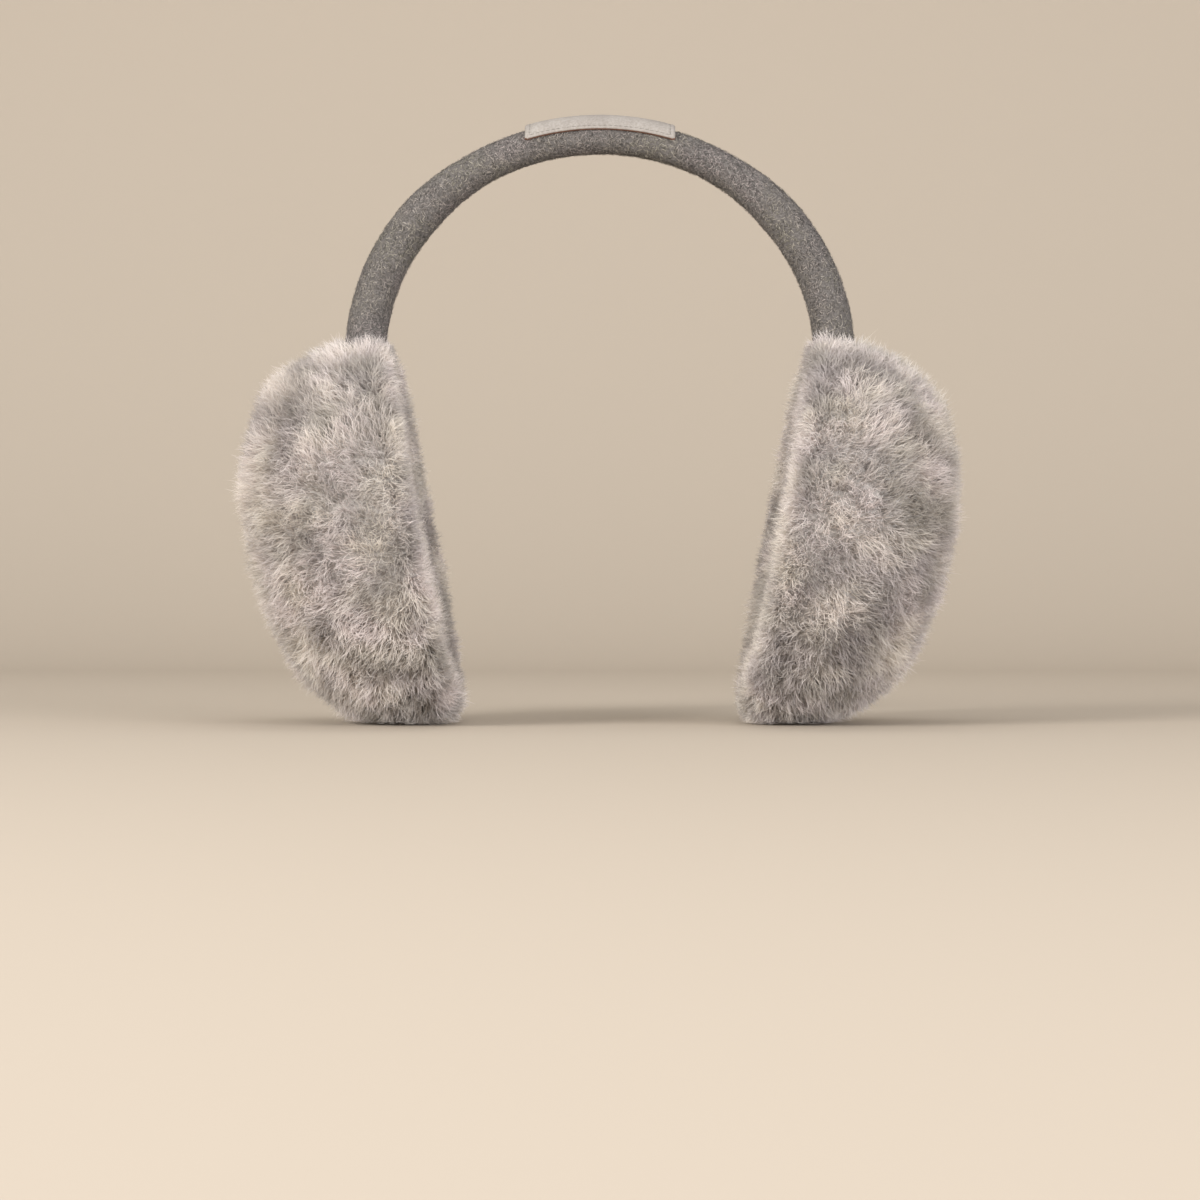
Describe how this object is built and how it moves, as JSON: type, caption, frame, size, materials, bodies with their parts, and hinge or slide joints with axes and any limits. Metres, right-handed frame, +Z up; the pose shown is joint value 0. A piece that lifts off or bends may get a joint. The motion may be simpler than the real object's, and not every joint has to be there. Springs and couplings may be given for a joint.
{
  "type": "fur earmuffs",
  "caption": "Earmuffs with a padded felt headband, a plain leather patch over its crown and a thick round fur pad on each end.",
  "frame": {"origin": "on the surface that the two pads stand on, midway between them", "axes": "+Z up towards the crown of the headband, +X from one pad to the other, to the right seen from the front, and the front faces -Y"},
  "size_m": [0.2594, 0.1425, 0.2218],
  "materials": {
    "felt": "matt grey felted wool with light and dark flecks",
    "leather": "cream leather with a stitched border and a bare reddish-brown cut edge",
    "fur": "soft dense warm-grey fur"
  },
  "bodies": {
    "root": {"headband": "felt", "leather_patch": "leather", "fur_pad_left": "fur", "fur_pad_right": "fur"}
  },
  "joints": []
}
